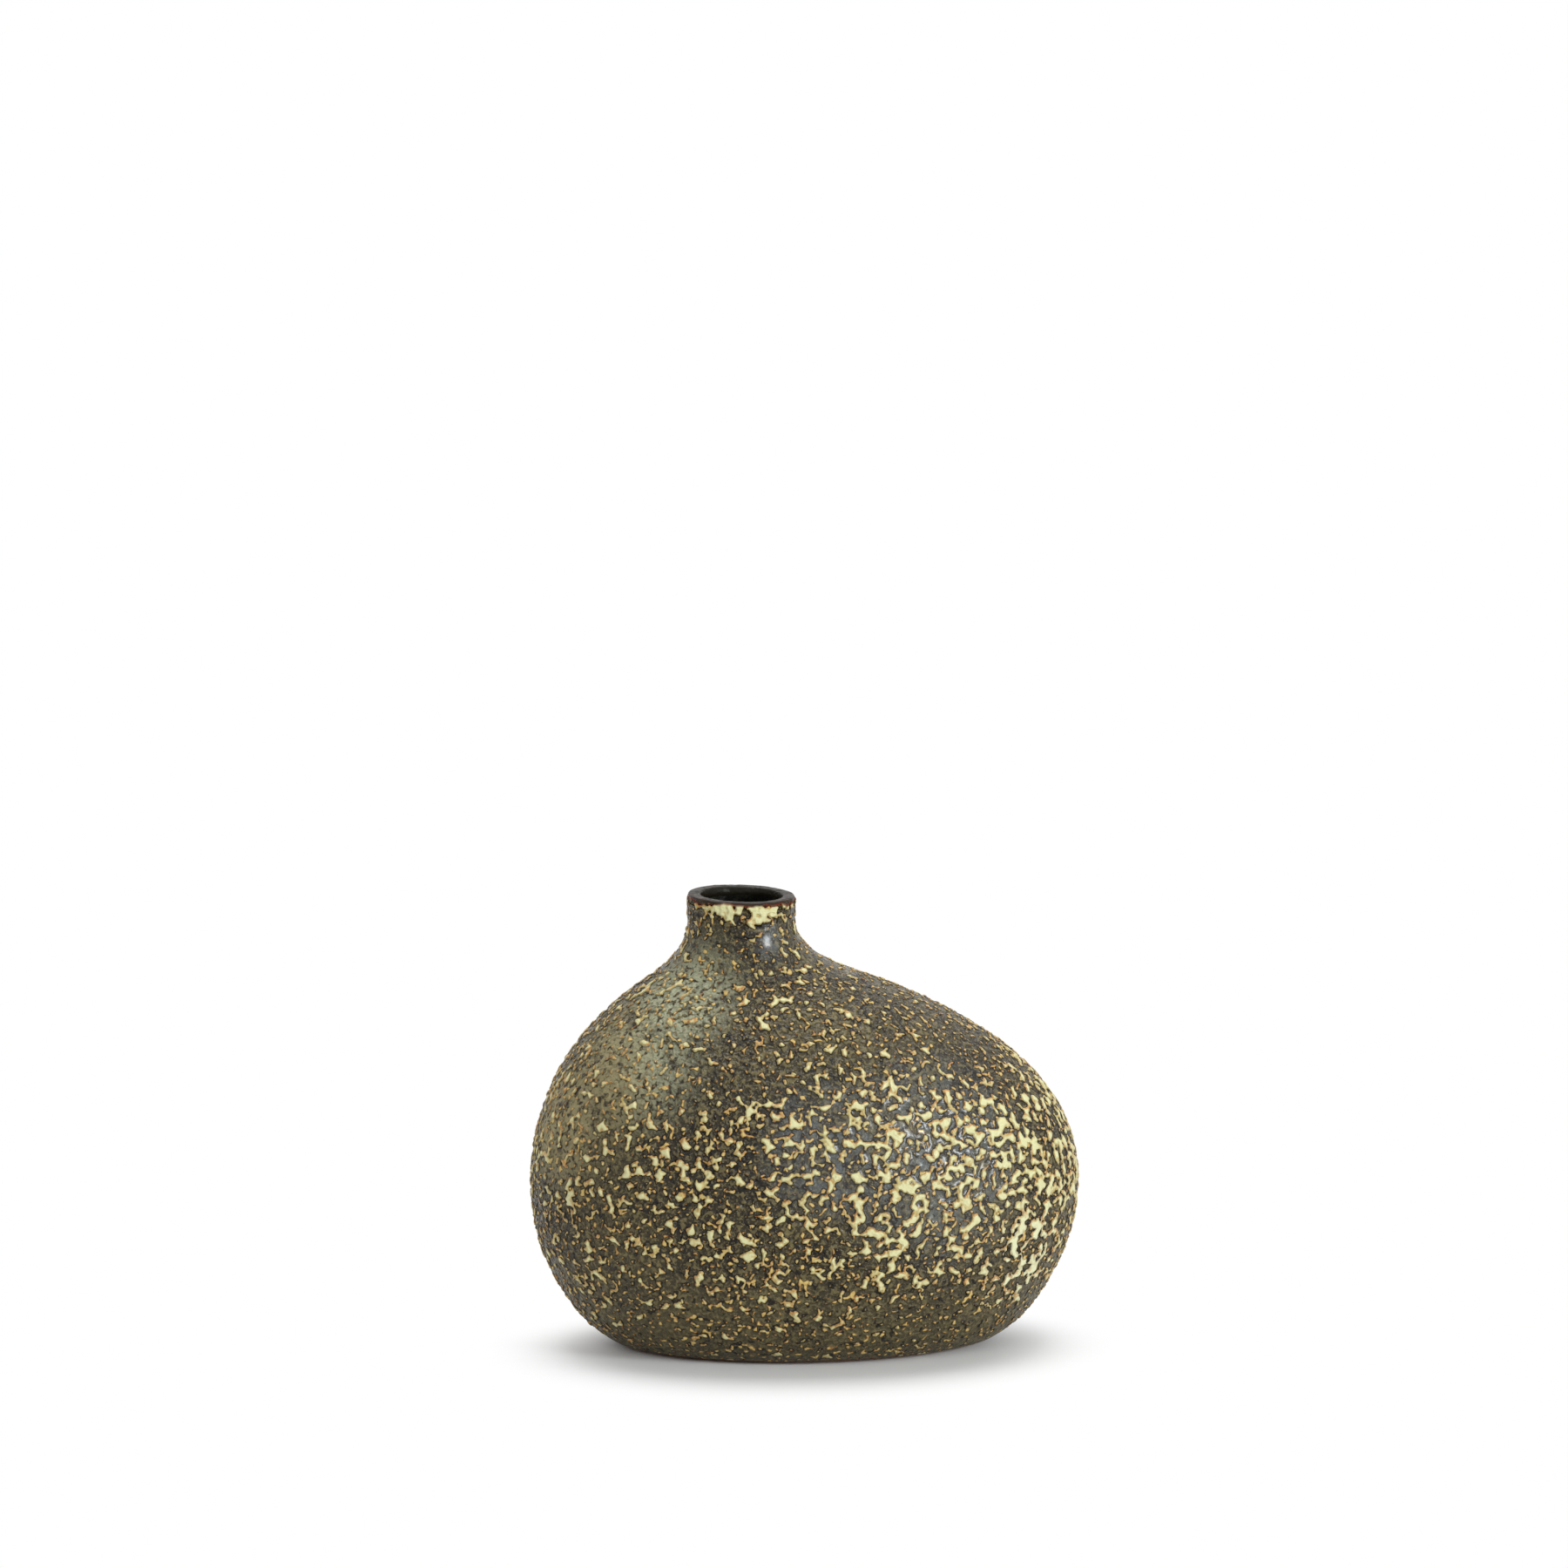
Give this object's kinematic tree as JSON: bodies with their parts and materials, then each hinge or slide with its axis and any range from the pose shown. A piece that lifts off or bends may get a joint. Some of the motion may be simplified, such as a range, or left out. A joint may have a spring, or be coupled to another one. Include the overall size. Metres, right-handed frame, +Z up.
{
  "type": "bud vase",
  "caption": "Small ceramic bud vase: a flattened pebble-shaped hollow body on an oval foot, with a short round neck set to one side and a speckled glaze.",
  "frame": {"origin": "on the ground under the middle of the body's widest part", "axes": "+Z up; +X along the body's width, with the neck at -X; +Y along its depth, towards the back"},
  "size_m": [0.1201, 0.08, 0.099],
  "materials": {
    "fired_clay": "unglazed, matt, fine toasted grain",
    "speckled_glaze": "semi-gloss dark olive-brown reactive glaze with raised cream islands and rust edges",
    "lip_glaze": "smooth gloss dark brown, rust-red where it thins over the edge",
    "liner_glaze": "gloss, near black"
  },
  "bodies": {
    "root": {"clay_body": "fired_clay", "outer_glaze": "speckled_glaze", "lip_glaze": "lip_glaze", "liner_glaze": "liner_glaze"}
  },
  "joints": []
}
